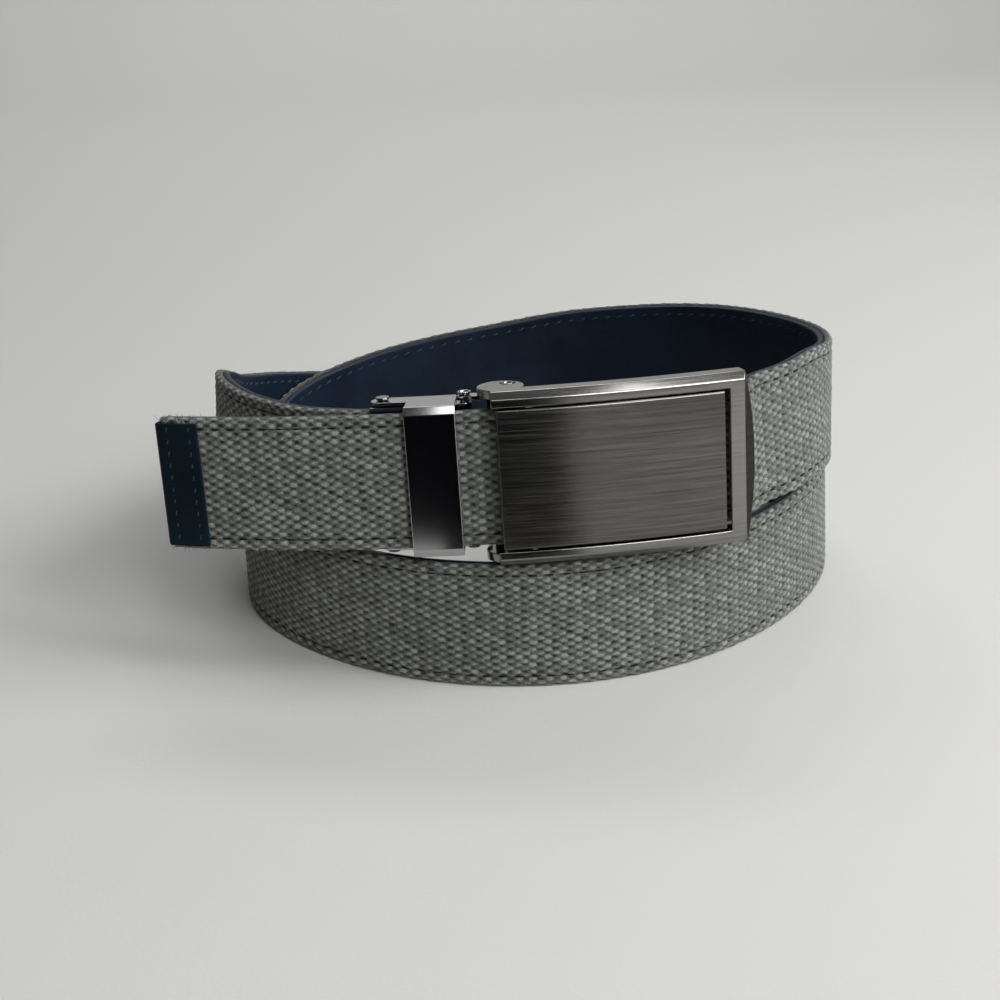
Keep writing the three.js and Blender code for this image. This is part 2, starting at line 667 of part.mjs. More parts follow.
const front = new THREE.Group();
front.position.set(
  BUCKLE_ACROSS,
  BUCKLE_SET_BACK - LOOP_RADIUS,
  STRAP_WIDTH + BUCKLE_LIFT,
);
front.rotation.set(-rad(BUCKLE_LEAN), -rad(BUCKLE_TILT), 0);
front.updateMatrixWorld(true);

const stations = strapStations(front);
const [linkTop, linkBottom] = hingeLink(BUCKLE_MIDDLE);
front.add(
  part('tip_cap', tipCap(), leather),
  part('ratchet_track', ratchetTrack(), trackPlastic),
  part('buckle_frame', buckleFrame(), gunmetal),
  part('buckle_lid', buckleLid(), gunmetal),
  part('buckle_pin', rod(
    LID_PIN_ALONG, LID_PIN_AHEAD, BUCKLE_MIDDLE, FRAME_HALF - PIN_SINK,
    PIN_RADIUS, PIN_HEAD_RADIUS,
  ), gunmetal),
  part('hinge_link_top', linkTop, darkMetal),
  part('hinge_link_bottom', linkBottom, darkMetal),
  part('hinge_pin', rod(
    HINGE_PIN_ALONG, HINGE_PIN_AHEAD, BUCKLE_MIDDLE, EAR_TOP, HINGE_PIN_RADIUS, LINK_RADIUS,
  ), darkMetal),
  part('clamp_body', clampBody(), darkMetal),
  part('clamp_rivet_top', clampRivet(0), gunmetal),
  part('clamp_rivet_bottom', clampRivet(1), gunmetal),
  part('keeper_loop', keeperLoop(), darkMetal),
);

const coil = new THREE.Group();
coil.add(
  part('strap_face', strapFace(stations), canvas),
  part('strap_lining', strapLining(stations), leather),
  front,
);

// The origin is the bottom centre of the belt's box
const box = new THREE.Box3().setFromObject(coil, true);
const middle = box.getCenter(new THREE.Vector3());
coil.position.set(-middle.x, -middle.y, -box.min.z);

const belt = new THREE.Group();
belt.add(coil);
belt.updateMatrixWorld(true);

export default belt;
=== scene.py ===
import json
import math

import bmesh
import bpy
import numpy as np
from mathutils import Matrix, Vector

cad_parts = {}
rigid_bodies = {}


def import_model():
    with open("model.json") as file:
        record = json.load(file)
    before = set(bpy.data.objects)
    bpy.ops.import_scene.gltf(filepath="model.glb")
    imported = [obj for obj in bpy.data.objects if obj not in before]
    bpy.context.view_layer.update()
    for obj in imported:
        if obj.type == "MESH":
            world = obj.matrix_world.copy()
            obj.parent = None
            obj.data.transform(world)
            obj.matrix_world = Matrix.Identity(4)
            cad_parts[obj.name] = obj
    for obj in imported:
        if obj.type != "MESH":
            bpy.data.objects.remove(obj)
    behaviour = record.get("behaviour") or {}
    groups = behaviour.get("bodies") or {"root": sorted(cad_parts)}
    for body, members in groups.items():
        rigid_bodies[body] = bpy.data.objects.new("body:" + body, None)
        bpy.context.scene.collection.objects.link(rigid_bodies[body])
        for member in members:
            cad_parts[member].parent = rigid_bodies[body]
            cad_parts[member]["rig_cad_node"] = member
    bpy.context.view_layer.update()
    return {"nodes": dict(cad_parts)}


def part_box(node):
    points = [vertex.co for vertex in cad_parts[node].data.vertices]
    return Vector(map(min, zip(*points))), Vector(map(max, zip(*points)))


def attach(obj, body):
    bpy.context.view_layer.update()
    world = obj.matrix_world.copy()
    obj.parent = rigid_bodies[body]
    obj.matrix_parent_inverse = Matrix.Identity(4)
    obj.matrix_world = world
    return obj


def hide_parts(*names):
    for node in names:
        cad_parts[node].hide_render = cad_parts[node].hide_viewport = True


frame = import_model()
nodes = frame["nodes"]

# Sizes and tables as in the part's source, in millimetres and degrees
STRAP_WIDTH = 35.0
FACE_THICKNESS = 2.2
LINING_THICKNESS = 1.5
SEAT_GAP = 0.3
STRAP_THICKNESS = FACE_THICKNESS + SEAT_GAP + LINING_THICKNESS
LOOP_RADIUS = 92.0
BUCKLE_ACROSS = -9.9
BUCKLE_SET_BACK = 2.3
BUCKLE_LIFT = 5.1
BUCKLE_LEAN = 7.0
BUCKLE_TILT = 1.4
FRONT_RADIUS = 260.0
FRONT_YAW = 0.5
TAIL_LENGTH = 88.5
CAP_LENGTH = 12.0
CAP_THICKNESS = 0.9
CAP_INSET = 1.2
TRACK_WIDTH = 8.0
TRACK_THICKNESS = 0.7
TRACK_END_MARGIN = 3.0
TRACK_ENTRY_MARGIN = 9.0
LID_LENGTH = 56.0
JAW_WALL = 0.8
CLAMP_LENGTH = 22.0
CLAMP_WEB = 1.4
KEEPER_START = -10.0
HELD_BEYOND = 5.0
ROUTE_STEP = 8.0
PATH_STEPS = 40
HELD_STEP = 7.0
FASTENED_STEP = 9.0
FASTENED_FROM = 6.0
ROUTE = [
    # turn, reach, lift, lean
    (40, 1.04, 1.057, -3),
    (56, 1.056, 1.018, -3),
    (69, 1.062, 0.995, -4.5),
    (76, 1.037, 0.92, -5.5),
    (90, 0.982, 0.669, -2),
    (104, 0.927, 0.487, 0),
    (121, 0.889, 0.28, 0),
    (140, 0.873, 0.1, 0),
    (160, 0.843, 0.015, 0),
    (178, 0.825, 0, 0),
    (206, 0.843, 0, 0),
    (236, 0.879, 0, -1),
    (260, 0.938, 0, -2.5),
    (285, 0.983, 0, -3),
    (320, 0.986, 0, -2.5),
    (360, 1.001, 0, -0.5),
    (400, 1.017, 0, 0),
    (420, 1.02, 0.006, -1.5),
    (432, 0.992, 0.02, -1.5),
    (447, 0.926, 0.157, -1),
    (466, 0.853, 0.318, 0),
    (487, 0.735, 0.434, 0),
    (511, 0.61, 0.545, 0),
    (531, 0.571, 0.61, 0),
    (555, 0.595, 0.694, 0),
    (578, 0.64, 0.779, 0),
    (605, 0.751, 0.89, 0),
    (622, 0.835, 0.957, 0),
    (638, 0.932, 1.021, -0.5),
    (655, 1.002, 1.114, -3),
    (663, 1.021, 1.162, -6),
    (671, 1.021, 1.154, -7),
    (680, 1.012, 1.149, -7.5),
]
# How far beyond the lid the strap enters the frame, and how far behind, in strap thicknesses
ENTRY = [(10.3, 1.0), (6.3, 0.5), (1.3, 0.15)]

# Floor, card and lights, in metres and watts
FLOOR_FRONT = -1.9
FLOOR_BACK = 1.5
FLOOR_SIDE = 2.4
FLOOR_BEND = 0.5
FLOOR_BEND_STEPS = 12
BACKDROP_HEIGHT = 2.2
CARD_HEIGHT = 0.001
CARD_OUTLINE = [
    (-1.2, -0.282),
    (-0.05, -0.282),
    (-0.025, -0.2),
    (0.042, -0.2),
    (0.302, -1.8),
    (-1.2, -1.8),
]
LIGHTS = [
    # name, place, aim, size, watts
    ("key", (0.95, -0.25, 0.78), (0, 0, 0.03), (0.6, 0.6), 13.5),
    ("front_right", (0.5, -0.95, 0.7), (0, 0, 0.03), (0.6, 0.5), 8.5),
    ("overhead", (0.33, -0.25, 1.0), (0.04, -0.08, 0.07), (0.2, 0.35), 1.2),
    ("high_right", (0.38, -0.62, 0.95), (0.05, -0.08, 0.06), (0.44, 0.3), 1.1),
    ("high_front", (-0.06, -0.75, 1.0), (-0.03, -0.08, 0.07), (0.26, 0.3), 0.8),
    ("rear", (-0.1, 0.9, 1.3), (0, 1.3, 0.2), (1.2, 0.6), 12.5),
]
SKY_COLOUR = (0.8, 0.82, 0.85, 1)
SKY_STRENGTH = {"From Min": -0.5, "From Max": 0.6, "To Min": 0.02, "To Max": 0.45}

# The photographer's camera: millimetres about the coil's centre, and degrees
CAMERA_PLACE = (-10.5, -432.5, 200.4)
CAMERA_PITCH = 23.34
CAMERA_ROLL = -2.12
CAMERA_LENS = 54.07
CAMERA_SENSOR = 36

# The canvas turned over the strap's edge, from its face to its back
FACE_TURN = [
    # outward, above the edge, across above the edge, share of relief
    (-0.12, -0.5, -0.4, 1.0),
    (-0.38, -0.18, 0.0, 0.9),
    (-0.75, 0.0, 0.4, 0.7),
    (-1.15, 0.06, 0.8, 0.6),
    (-1.5, 0.06, 1.2, 0.6),
    (-1.85, -0.05, 1.7, 0.5),
    (-2.05, -0.3, 2.2, 0.3),
    (-FACE_THICKNESS, -0.7, 3.0, 0.0),
    (-FACE_THICKNESS, -3.0, 5.0, 0.0),
]
# The lining's rounded edge, from its face to its back
LINING_CLEARANCE = 0.08
LINING_DEPTH = STRAP_THICKNESS - FACE_THICKNESS - LINING_CLEARANCE
LINING_TURN = [
    # behind its face, in from its edge
    (0.0, 0.3),
    (0.25, 0.03),
    (LINING_DEPTH - 0.4, 0.0),
    (LINING_DEPTH - 0.1, 0.15),
    (LINING_DEPTH, 0.45),
]

# Look of the weave, threads, pins, edges, track and fray, in millimetres and degrees
GRAIN_PITCH_ALONG = 3.95
GRAIN_PITCH_ACROSS = 2.2
GRAIN_RELIEF = 0.72
GRAIN_POWER = 2.4
GRAIN_TIP = 0.3
GRAIN_JITTER = (0.5, 0.24)
GRAIN_UNEVENNESS = 0.2
# Two kinds of grain: half length, half width, slant, height, and shift in pitches
PLUMP = (1.6, 0.98, 0.15, 1.0, 0.0)
FLAT = (1.8, 0.9, 0.35, 0.93, 0.5)
WEAVE_STEP = 0.52
WEAVE_ROWS = 74
WEAVE_PIECES = 3
STITCH_PITCH = 4.4
STITCH_LENGTH = 3.0
STITCH_RADIUS = 0.24
STITCH_EDGE = 3.0
# Two kinds of thread: place outward, dive of a stitch's ends, radius and slant
FACE_THREAD = (-0.42, 0.35, STITCH_RADIUS, 0.0)
LINING_THREAD = (0.1 - STRAP_THICKNESS, -0.3, 0.36, 0.4)
SEAM_HALF_WIDTH = 0.45
SEAM_DIP = 0.12
STITCH_DIP = 0.3
WANDER = 0.05
RIM_DARK = 0.8
PIN_WALL = 0.5
PIN_TAPER = 0.12
PIN_HOLLOW = 0.45
FLAT_ENOUGH = 1.2
EDGE_ANGLE = 24
SIDE_FACING = 0.33
SIDE_DEPTH = 6.0
LINING_STEP = 2.0
LINING_ROWS = 15
LINING_MARGIN = 0.35
LINING_END = 0.2
LINING_GROOVE = 0.22
LINING_GROOVE_HALF_WIDTH = 0.8
FACE_EDGE = 0.8
TIP_SEAMS = (3.6, 9.8)
TIP_STITCHES_FROM = 2.2
TIP_STITCHES_TO = 31.6
TIP_STITCH_SHARE = 0.72
TIP_STITCH_LEAN = 0.22
TIP_STITCH_SINK = 0.05
TIP_STITCH_DIVE = 0.3
TOOTH_PITCH = 3.2
TOOTH_ROOT = 0.25
TOOTH_SHARE = 0.92
FRAY_THREADS = 60
FRAY_LENGTHS = (0.8, 2.0)
FRAY_LEANS = (0.5, 0.35)
FRAY_ROOT = 0.5
FRAY_CURL = 0.25
FRAY_RADIUS = 0.15
FRAY_TAPER = 0.6
FRAY_SIDES = 4
FRAY_RINGS = 4
UV_SCALE = 0.01
MM = 0.001

jaw_front = -STRAP_THICKNESS - SEAT_GAP - TRACK_THICKNESS - SEAT_GAP
fixed_end_face = jaw_front - JAW_WALL - SEAT_GAP
clamp_right = KEEPER_START - SEAT_GAP
fixed_end = clamp_right - CLAMP_WEB - SEAT_GAP
clamp_left = clamp_right - CLAMP_LENGTH

front_turn = Matrix.Rotation(-math.radians(BUCKLE_LEAN), 3, "X")
front_turn = front_turn @ Matrix.Rotation(-math.radians(BUCKLE_TILT), 3, "Y")
front_turn = np.array(front_turn)
front_place = np.array([BUCKLE_ACROSS, BUCKLE_SET_BACK - LOOP_RADIUS, STRAP_WIDTH + BUCKLE_LIFT])
front_up = front_turn @ np.array([0.0, 0.0, 1.0])


def unit(vectors):
    return vectors / np.linalg.norm(vectors, axis=-1, keepdims=True)


def front_point(along, ahead, height=0.0):
    """Points off the front's curved line, leaned and placed with the buckle."""
    start = math.radians(FRONT_YAW)
    yaw = start + np.asarray(along, float) / FRONT_RADIUS
    x = FRONT_RADIUS * (np.sin(yaw) - math.sin(start)) + ahead * np.sin(yaw)
    y = FRONT_RADIUS * (math.cos(start) - np.cos(yaw)) - ahead * np.cos(yaw)
    return np.stack(np.broadcast_arrays(x, y, height), -1) @ front_turn.T + front_place


def steps(start, stop, spacing):
    count = max(1, math.ceil(abs(stop - start) / spacing))
    return np.linspace(start, stop, count + 1)


def route_value(column, turn):
    last = len(ROUTE) - 1
    following = [k for k, row in enumerate(ROUTE) if row[0] > turn]
    k = max(following[0], 1) if following else last

    def slope(i):
        a, b = ROUTE[max(i - 1, 0)], ROUTE[min(i + 1, last)]
        return (b[column] - a[column]) / (b[0] - a[0])

    a, b = ROUTE[k - 1], ROUTE[k]
    span = b[0] - a[0]
    t = (turn - a[0]) / span
    ease = t * t * (3 - 2 * t)
    bend = slope(k - 1) * t * (1 - t) ** 2 - slope(k) * t * t * (1 - t)
    return a[column] + (b[column] - a[column]) * ease + bend * span


def route_section(turn):
    angle = math.radians(turn)
    lean = math.radians(route_value(3, turn))
    out = np.array([-math.sin(angle), -math.cos(angle), 0.0])
    foot = out * LOOP_RADIUS * route_value(1, turn)
    seat = STRAP_THICKNESS * max(-math.sin(lean), 0)
    foot[2] = STRAP_WIDTH * max(route_value(2, turn), 0) + seat
    upward = out * math.sin(lean)
    upward[2] = math.cos(lean)
    return foot, upward


def strap_sections():
    rows = [(front_point(s, fixed_end_face), front_up)
            for s in steps(fixed_end, clamp_left - HELD_BEYOND, HELD_STEP)]
    rows += [route_section(t) for t in steps(ROUTE[0][0], ROUTE[-1][0], ROUTE_STEP)]
    rows += [(front_point(LID_LENGTH + beyond, -STRAP_THICKNESS * behind), front_up)
             for beyond, behind in ENTRY]
    tail_end = CAP_THICKNESS + SEAT_GAP - TAIL_LENGTH
    rows += [(front_point(s, 0.0), front_up)
             for s in steps(LID_LENGTH - FASTENED_FROM, tail_end, FASTENED_STEP)]
    return np.array([r[0] for r in rows]), np.array([r[1] for r in rows])


def catmull(points, t):
    """Uniform Catmull-Rom through the points, at parameters from 0 to the number of spans."""
    padded = np.vstack([2 * points[0] - points[1], points, 2 * points[-1] - points[-2]])
    k = np.clip(t.astype(int), 0, len(points) - 2)
    u = (t - k)[:, None]
    a, b, c, d = padded[k], padded[k + 1], padded[k + 2], padded[k + 3]
    return b + 0.5 * u * (c - a + u * (2 * a - 5 * b + 4 * c - d + u * (3 * (b - c) + d - a)))


class Strap:
    """Even stations along the strap's outer lower edge, and points off them."""

    def __init__(self):
        feet, tips = strap_sections()
        fine = np.linspace(0, len(feet) - 1, PATH_STEPS * len(feet))
        path = catmull(feet, fine)
        self.run = np.concatenate([[0], np.cumsum(np.linalg.norm(np.diff(path, axis=0), axis=1))])
        self.path = path
        self.tips = unit(catmull(tips, fine))
        self.tangents = unit(np.gradient(path, axis=0))
        self.length = self.run[-1]

    def at(self, along, outward, upward):
        """Points at distances along the strap, off its outer lower edge."""
        along = np.asarray(along, float)
        foot = self.sample(self.path, along)
        up = unit(self.sample(self.tips, along))
        out = unit(np.cross(up, self.sample(self.tangents, along)))
        outward = np.asarray(outward, float)[..., None]
        upward = np.asarray(upward, float)[..., None]
        return foot + out * outward + up * upward

    def sample(self, values, along):
        flat = np.ravel(along)
        got = np.stack([np.interp(flat, self.run, values[:, i]) for i in range(3)], -1)
        return got.reshape(*np.shape(along), 3)


strap = Strap()
strap_low, strap_high = [np.array(corner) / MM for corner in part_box("strap_face")]
stations = np.linspace(0, strap.length, 600)[:, None]
edge_heights = [FACE_EDGE, STRAP_WIDTH - FACE_EDGE]
probe = strap.at(
    stations, np.array([[0, 0, -STRAP_THICKNESS, -STRAP_THICKNESS]]), np.array([edge_heights * 2]),
).reshape(-1, 3)
shift = (strap_low + strap_high) / 2 - (probe.min(0) + probe.max(0)) / 2
shift[2] = strap_low[2]


def in_row(points):
    """Millimetres about the coil's centre to metres in the row frame."""
    return (np.asarray(points) + shift) * MM


def new_mesh(name, points, faces, body, replaces=(), smooth=True):
    mesh = bpy.data.meshes.new(name)
    mesh.from_pydata(in_row(points).tolist(), [], faces)
    mesh.validate()
    mesh.update()
    piece = bpy.data.objects.new(name, mesh)
    bpy.context.scene.collection.objects.link(piece)
    if smooth:
        mesh.shade_smooth()
    settle(piece, body, replaces)
    return piece


def settle(piece, body, replaces):
    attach(piece, body)
    if replaces:
        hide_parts(*replaces)


def grid_faces(rows, columns, closed):
    """Quads between rings of equal size, closed round the ring if asked."""
    width = columns if closed else columns - 1
    row, column = np.meshgrid(np.arange(rows - 1), np.arange(width), indexing="ij")
    a = row * columns + column
    b = row * columns + (column + 1) % columns
    return np.stack([a, b, b + columns, a + columns], -1).reshape(-1, 4).tolist()


def add_uv(piece, along, across):
    """The place of each corner along and across the strap, in hundreds of millimetres."""
    uv = np.stack(np.broadcast_arrays(along * UV_SCALE, across * UV_SCALE), -1).reshape(-1, 2)
    layer = piece.data.uv_layers.new(name="strap")
    loops = np.zeros(len(piece.data.loops), np.int32)
    piece.data.loops.foreach_get("vertex_index", loops)
    layer.data.foreach_set("uv", uv[loops].astype(np.float32).ravel())


def chance(i, j, salt):
    """An even spread of numbers from 0 to 1, one for each grain."""
    mixed = np.sin(i * 12.9898 + j * 78.233 + salt * 37.719) * 43758.5453
    return mixed - np.floor(mixed)


def grains(along, across):
    """Relief of the woven face, from 0 in its gaps to 1 on its grains, and each grain's tone."""
    best = np.zeros(np.broadcast(along, across).shape)
    tone = np.full(best.shape, 0.5)
    for half_length, half_width, slant, top, moved in (PLUMP, FLAT):
        i = np.round(along / GRAIN_PITCH_ALONG - moved)
        j = np.round(across / GRAIN_PITCH_ACROSS - moved)
        du = along - (i + moved) * GRAIN_PITCH_ALONG + GRAIN_JITTER[0] * (chance(i, j, 1) - 0.5)
        dv = across - (j + moved) * GRAIN_PITCH_ACROSS + GRAIN_JITTER[1] * (chance(i, j, 2) - 0.5)
        du = (du + slant * dv) / half_length
        far = np.abs(du) ** GRAIN_POWER + np.abs(dv / half_width) ** GRAIN_POWER
        dome = np.sqrt(np.maximum(1 - far, 0)) * (1 - GRAIN_TIP * du)
        dome = dome * top * (1 + GRAIN_UNEVENNESS * (chance(i, j, 3) - 0.5))
        tone = np.where(dome > best, chance(i, j, 4), tone)
        best = np.maximum(best, dome)
    return best, tone


def from_seam(height):
    """Distance from the nearer row of stitches along the strap."""
    return np.minimum(np.abs(height - STITCH_EDGE), np.abs(height - STRAP_WIDTH + STITCH_EDGE))


def face_ring():
    """The canvas section: outward, upward, distance across the weave, and share of relief."""
    rows = np.linspace(FACE_EDGE, STRAP_WIDTH - FACE_EDGE, WEAVE_ROWS + 1)
    ring = [(0.0, v, v, 1.0) for v in rows]
    top = [(w, STRAP_WIDTH + v, STRAP_WIDTH + far, share) for w, v, far, share in FACE_TURN]
    bottom = [(w, -v, -far, share) for w, v, far, share in reversed(FACE_TURN)]
    return np.array(ring + top + bottom).T


def strap_face(number):
    """One of the lengths that the woven face is made in."""
    first = strap.length * number / WEAVE_PIECES
    last = strap.length * (number + 1) / WEAVE_PIECES
    along = steps(first, last, WEAVE_STEP)
    outward, upward, across, share = face_ring()
    count = len(outward)
    u, v = along[:, None], across[None, :]
    seam = from_seam(v)
    beat = (u / STITCH_PITCH + 0.5) % 1 - 0.5
    pressed = SEAM_DIP + STITCH_DIP * (np.abs(beat) * STITCH_PITCH < STITCH_LENGTH / 2)
    dip = pressed * np.exp(-(seam / SEAM_HALF_WIDTH) ** 2)
    wander = WANDER * np.sin(u * 0.9 + 3 * np.sin(v * 0.7)) * np.sin(v * 1.3 + u * 0.11)
    relief, tone = grains(u, v)
    inward = (GRAIN_RELIEF * (1 - relief) + dip + wander) * share
    on_face = np.arange(count) <= WEAVE_ROWS
    w = outward - inward * on_face
    h = upward - np.sign(upward - STRAP_WIDTH / 2) * inward * ~on_face
    points = strap.at(*np.broadcast_arrays(u, w, h)).reshape(-1, 3)
    faces = grid_faces(len(along), count, True)
    if number == 0:
        faces.append(list(range(count)))
    if number == WEAVE_PIECES - 1:
        faces.append([(len(along) - 1) * count + k for k in reversed(range(count))])
    piece = new_mesh(f"strap_weave_{number}", points, faces, "belt", ["strap_face"])
    # Relief is set to zero where the canvas turns under against the lining, so the canvas ramp paints
    # it with the gaps' dark painted shade
    values = np.stack([relief * (share > 0), tone, np.zeros_like(tone), np.ones_like(tone)], -1)
    layer = piece.data.color_attributes.new("grain", "FLOAT_COLOR", "POINT")
    layer.data.foreach_set("color", values.astype(np.float32).ravel())
    add_uv(piece, u, v)
    return piece


def strap_lining():
    along = steps(LINING_END, strap.length - LINING_END, LINING_STEP)
    face = -FACE_THICKNESS - LINING_CLEARANCE
    back = -STRAP_THICKNESS
    low, high = LINING_MARGIN, STRAP_WIDTH - LINING_MARGIN
    ring = [(face, high - LINING_TURN[0][1])]
    ring += [(face - behind, low + inward) for behind, inward in LINING_TURN]
    ring += [(back, v) for v in np.linspace(low + 1, high - 1, LINING_ROWS)]
    ring += [(face - behind, high - inward) for behind, inward in reversed(LINING_TURN[1:])]
    outward = np.array([w for w, v in ring])
    upward = np.array([v for w, v in ring])
    u, v = along[:, None], upward[None, :]
    seam = from_seam(v)
    on_back = (outward < back + 0.05)[None, :]
    dip = LINING_GROOVE * np.exp(-(seam / LINING_GROOVE_HALF_WIDTH) ** 2) * on_back
    w = outward[None, :] + dip
    points = strap.at(*np.broadcast_arrays(u, w, v)).reshape(-1, 3)
    faces = grid_faces(len(along), len(ring), True)
    faces.append(list(range(len(ring))))
    faces.append([(len(along) - 1) * len(ring) + k for k in reversed(range(len(ring)))])
    piece = new_mesh("lining_leather", points, faces, "belt", ["strap_lining"])
    add_uv(piece, u, v)


def capsule(sides=6, rings=5):
    """A stitch along x, from -1 to 1, with rounded ends, round about x in y and z."""
    points = []
    for k in range(rings):
        t = k / (rings - 1) * 2 - 1
        radius = math.sqrt(max(1 - abs(t) ** 3, 0.02))
        for i in range(sides):
            a = 2 * math.pi * i / sides
            points.append((t, math.cos(a) * radius, math.sin(a) * radius))
    faces = grid_faces(rings, sides, True)
    faces.append(list(reversed(range(sides))))
    faces.append([(rings - 1) * sides + i for i in range(sides)])
    return np.array(points), faces


def stitches(name, height, thread):
    """A row of thread along the strap: half sunk capsules at one height."""
    outward, dive, radius, slant = thread
    shape, shape_faces = capsule()
    points, faces = [], []
    for start in np.arange(STITCH_PITCH, strap.length - STITCH_PITCH, STITCH_PITCH):
        run = start + shape[:, 0] * STITCH_LENGTH / 2
        w = outward + shape[:, 1] * radius - dive * shape[:, 0] ** 2
        h = height + shape[:, 2] * radius + shape[:, 0] * slant
        base = len(points) * len(shape)
        points.append(strap.at(run, w, h))
        faces += [[base + i for i in face] for face in shape_faces]
    new_mesh(name, np.concatenate(points), faces, "belt", ())


weave = [strap_face(number) for number in range(WEAVE_PIECES)]
strap_lining()
for label, height in (("upper", STRAP_WIDTH - STITCH_EDGE), ("lower", STITCH_EDGE)):
    stitches(f"face_stitches_{label}", height, FACE_THREAD)
    stitches(f"lining_stitches_{label}", height, LINING_THREAD)


def hollow_ends(work):
    """Sinks the flat faces at both ends of a pin, so that its heads look like tubes."""
    heights = [face.calc_center_median().z for face in work.faces]
    for target in (max(heights), min(heights)):
        ends = [f for f in work.faces if abs(f.calc_center_median().z - target) < 0.1 * MM]
        made = max(ends, key=lambda f: f.calc_area())
        for width, depth in ((PIN_WALL, 0.0), (PIN_TAPER, -PIN_HOLLOW)):
            bmesh.ops.inset_region(
                work, faces=[made], thickness=width * MM, depth=depth * MM, use_even_offset=True,
            )


def copy_of(node, name, bevel, body, slot, segments, hollow):
    """The CAD solid again as a new piece, its edges softened."""
    piece = bpy.data.objects.new(name, nodes[node].data.copy())
    bpy.context.scene.collection.objects.link(piece)
    work = bmesh.new()
    work.from_mesh(piece.data)
    bmesh.ops.remove_doubles(work, verts=work.verts, dist=1e-6)
    bmesh.ops.dissolve_limit(
        work, angle_limit=math.radians(FLAT_ENOUGH), verts=work.verts, edges=work.edges,
    )
    if hollow:
        hollow_ends(work)
    work.to_mesh(piece.data)
    work.free()
    piece.data.materials.clear()
    rounding = piece.modifiers.new("bevel", "BEVEL")
    rounding.width = bevel * MM
    rounding.segments = segments
    rounding.limit_method = "ANGLE"
    rounding.angle_limit = math.radians(EDGE_ANGLE)
    rounding.use_clamp_overlap = False
    piece.data.shade_smooth()
    smooth = piece.modifiers.new("weighted", "WEIGHTED_NORMAL")
    smooth.keep_sharp = False
    smooth.weight = 80
    settle(piece, body, [node])
    return piece


COPIES = [
    # node, name, edge rounding, body, slot, segments, hollow ends
    ("tip_cap", "tip_leather", 0.35, "belt", "tip_leather", 3, False),
    ("buckle_frame", "frame_metal", 0.3, "belt", "buckle_metal", 3, False),
    ("buckle_lid", "lid_metal", 0.26, "lid", "brushed_metal", 3, False),
    ("keeper_loop", "keeper_metal", 0.22, "belt", "dark_metal", 3, False),
    ("clamp_body", "clamp_metal", 0.2, "belt", "dark_metal", 3, False),
    ("buckle_pin", "lid_pin", 0.12, "belt", "buckle_metal", 2, True),
    ("hinge_pin", "hinge_pin_metal", 0.12, "belt", "dark_metal", 2, True),
    ("hinge_link_top", "link_top", 0.12, "belt", "dark_metal", 2, False),
    ("hinge_link_bottom", "link_bottom", 0.12, "belt", "dark_metal", 2, False),
    ("clamp_rivet_top", "rivet_top", 0.15, "belt", "buckle_metal", 2, False),
    ("clamp_rivet_bottom", "rivet_bottom", 0.15, "belt", "buckle_metal", 2, False),
]
copies = {row[1]: copy_of(*row) for row in COPIES}


def track():
    """The toothed strip on the tail's back: a saw-tooth profile along it."""
    left = CAP_LENGTH + TRACK_END_MARGIN - TAIL_LENGTH
    right = LID_LENGTH - TRACK_ENTRY_MARGIN
    front = -STRAP_THICKNESS - SEAT_GAP
    profile = [(left, front), (right, front)]
    for k in range(int((right - left) / TOOTH_PITCH)):
        s = right - k * TOOTH_PITCH
        profile.append((s, front - TRACK_THICKNESS))
        profile.append((s - TOOTH_PITCH * TOOTH_SHARE, front - TOOTH_ROOT))
    profile.append((left, front - TOOTH_ROOT))
    count = len(profile)
    low = (STRAP_WIDTH - TRACK_WIDTH) / 2
    high = (STRAP_WIDTH + TRACK_WIDTH) / 2
    along = np.array([p[0] for p in profile] * 2)
    ahead = np.array([p[1] for p in profile] * 2)
    height = np.array([low] * count + [high] * count)
    faces = [list(range(count)), [count + k for k in reversed(range(count))]]
    for k in range(count):
        j = (k + 1) % count
        faces.append([k, k + count, j + count, j])
    piece = new_mesh("track_teeth", front_point(along, ahead, height), faces, "belt",
                     ["ratchet_track"], False)
    work = bmesh.new()
    work.from_mesh(piece.data)
    bmesh.ops.recalc_face_normals(work, faces=work.faces)
    work.to_mesh(piece.data)
    work.free()


track()


def tip_stitches(name, ahead, side):
    """Thread across the tip cap in upright rows."""
    shape, shape_faces = capsule()
    points, faces = [], []
    for seam in TIP_SEAMS:
        for start in np.arange(TIP_STITCHES_FROM, TIP_STITCHES_TO, STITCH_PITCH * TIP_STITCH_SHARE):
            middle = start + STITCH_LENGTH / 2
            height = middle + shape[:, 0] * STITCH_LENGTH * TIP_STITCH_SHARE / 2
            column = seam - TAIL_LENGTH
            along = column + shape[:, 2] * STITCH_RADIUS + shape[:, 0] * TIP_STITCH_LEAN
            out = ahead + side * (shape[:, 1] * STITCH_RADIUS - TIP_STITCH_DIVE * shape[:, 0] ** 2)
            base = len(points) * len(shape)
            points.append(front_point(along, out, height))
            faces += [[base + i for i in face] for face in shape_faces]
    new_mesh(name, np.concatenate(points), faces, "belt", ())


cap_front = SEAT_GAP + CAP_THICKNESS
cap_back = -STRAP_THICKNESS - SEAT_GAP - CAP_THICKNESS
tip_stitches("tip_stitches_front", cap_front - TIP_STITCH_SINK, 1)
tip_stitches("tip_stitches_back", cap_back + TIP_STITCH_SINK, -1)


